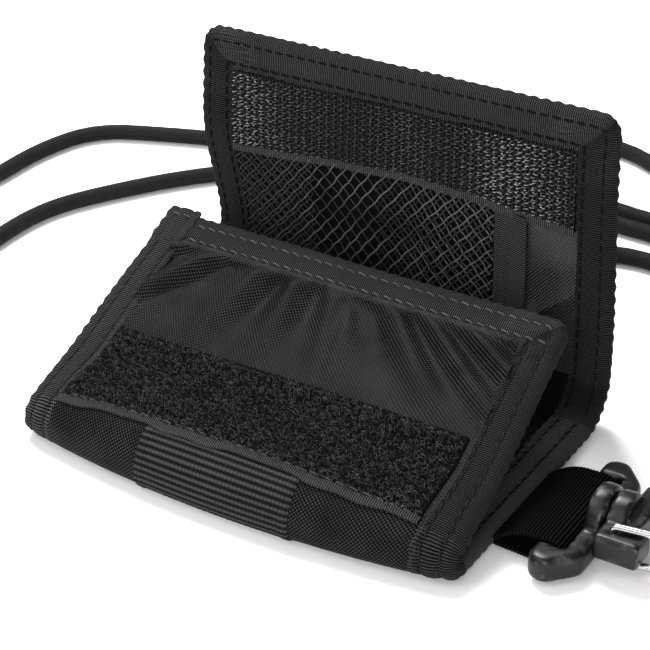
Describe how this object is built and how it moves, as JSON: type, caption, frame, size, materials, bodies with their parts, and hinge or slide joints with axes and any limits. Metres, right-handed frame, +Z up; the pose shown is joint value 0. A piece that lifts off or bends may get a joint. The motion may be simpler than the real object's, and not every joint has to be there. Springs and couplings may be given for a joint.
{
  "type": "neck pouch wallet",
  "caption": "Trifold fabric wallet standing open, with taped edges, touch-and-close tapes, a mesh pocket, a neck cord and a swivel snap hook on a webbing strap.",
  "frame": {"origin": "centre of the centre panel's flat underside, on the surface it rests on", "axes": "+X across the wallet towards the key strap, +Y from the front fold to the back fold, +Z up"},
  "size_m": [0.2865, 0.2281, 0.0783],
  "materials": {
    "nylon": "plain-woven coated nylon, low sheen",
    "lining": "plain-woven nylon lining, soft sheen",
    "foam": "thin sheet foam, unseen",
    "binding_tape": "ribbed grosgrain tape, matte",
    "webbing": "ribbed webbing, matte",
    "loop_tape": "brushed loop pile, matte",
    "hook_tape": "woven hook tape with glossy filament hooks",
    "mesh": "open diamond net",
    "cord": "round braid, low sheen",
    "moulded_plastic": "satin moulded plastic",
    "polished_steel": "polished steel wire"
  },
  "bodies": {
    "centre_panel": {"centre_shell": "nylon", "centre_foam": "foam", "centre_lining": "lining", "centre_binding_left": "binding_tape", "centre_binding_right": "binding_tape", "front_fold_shell": "nylon", "front_fold_binding_left": "binding_tape", "front_fold_binding_right": "binding_tape", "fold_band": "webbing", "back_fold_shell": "nylon", "back_fold_binding_left": "binding_tape", "back_fold_binding_right": "binding_tape", "cord_tab_left": "webbing", "cord_tab_right": "webbing", "neck_cord": "cord"},
    "front_panel": {"front_shell": "nylon", "front_foam": "foam", "front_lining": "lining", "front_binding": "binding_tape", "loop_tape": "loop_tape"},
    "flap": {"flap_shell": "nylon", "flap_foam": "foam", "flap_lining": "lining", "flap_binding": "binding_tape", "hook_tape": "hook_tape", "mesh_pocket": "mesh", "mesh_pocket_binding": "binding_tape", "side_pocket": "nylon"},
    "strap": {"key_strap": "webbing"},
    "eye": {"swivel_eye": "moulded_plastic"},
    "hook": {"hook_body": "moulded_plastic", "swivel_rivet": "polished_steel"},
    "gate": {"wire_gate": "polished_steel"}
  },
  "joints": [
    {"name": "flap_fold", "type": "hinge", "parent": "centre_panel", "child": "flap", "pos_m": [0, 0.0427, 0.013], "axis": [1, 0, 0], "range_deg": [-85, 94.4], "deforming": ["back_fold_shell", "back_fold_binding_left", "back_fold_binding_right"]},
    {"name": "front_fold", "type": "hinge", "parent": "centre_panel", "child": "front_panel", "pos_m": [0, -0.03545, 0.006], "axis": [1, 0, 0], "range_deg": [-24.9, 22.5], "deforming": ["front_fold_shell", "front_fold_binding_left", "front_fold_binding_right", "fold_band"]},
    {"name": "strap_flex", "type": "hinge", "parent": "centre_panel", "child": "strap", "pos_m": [0.0616, -0.004, 0.00205], "axis": [0, -1, 0], "range_deg": [-80, 50]},
    {"name": "eye_tilt", "type": "hinge", "parent": "strap", "child": "eye", "pos_m": [0.0733, -0.004, 0.004], "axis": [0, -1, 0], "range_deg": [-80, 36]},
    {"name": "hook_swivel", "type": "hinge", "parent": "eye", "child": "hook", "pos_m": [0.0824, -0.004, 0.0075], "axis": [1, 0, 0], "continuous": true},
    {"name": "gate_hinge", "type": "hinge", "parent": "hook", "child": "gate", "pos_m": [0.0856, -0.013, 0.0075], "axis": [0, 0, 1], "range_deg": [0, 22], "stiffness_Nm_per_rad": 0.05, "springref_deg": -17.19}
  ],
  "couplings": [
    {"joint": "front_fold", "follows": "flap_fold", "ratio": -0.26325}
  ]
}
